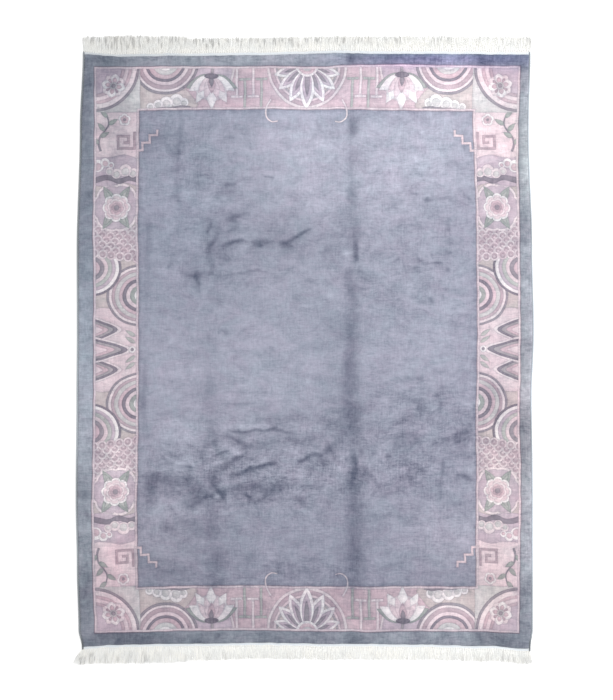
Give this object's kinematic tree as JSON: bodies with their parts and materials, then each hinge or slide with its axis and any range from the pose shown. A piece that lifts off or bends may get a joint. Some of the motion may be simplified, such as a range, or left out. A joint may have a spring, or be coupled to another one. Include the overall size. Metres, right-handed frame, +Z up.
{
  "type": "nepalese rug",
  "caption": "Hand-knotted wool rug with a plain blue-grey field, a carved mauve border, overcast selvedges and a cotton fringe at both ends, lying flat.",
  "frame": {"origin": "on the floor, under the middle of the rug's box", "axes": "+X across the rug, +Y along its length towards the far fringe, +Z up out of the pile"},
  "size_m": [2.3299, 3.1964, 0.0164],
  "materials": {
    "wool_pile": "soft cut wool pile, matt with a slight sheen",
    "wool_selvedge": "overcast wool yarn, matt",
    "cotton_warp": "plied unbleached cotton, matt"
  },
  "bodies": {
    "root": {"rug_cloth": "wool_pile", "selvedge_left": "wool_selvedge", "selvedge_right": "wool_selvedge", "fringe_far": "cotton_warp", "fringe_near": "cotton_warp"}
  },
  "joints": []
}
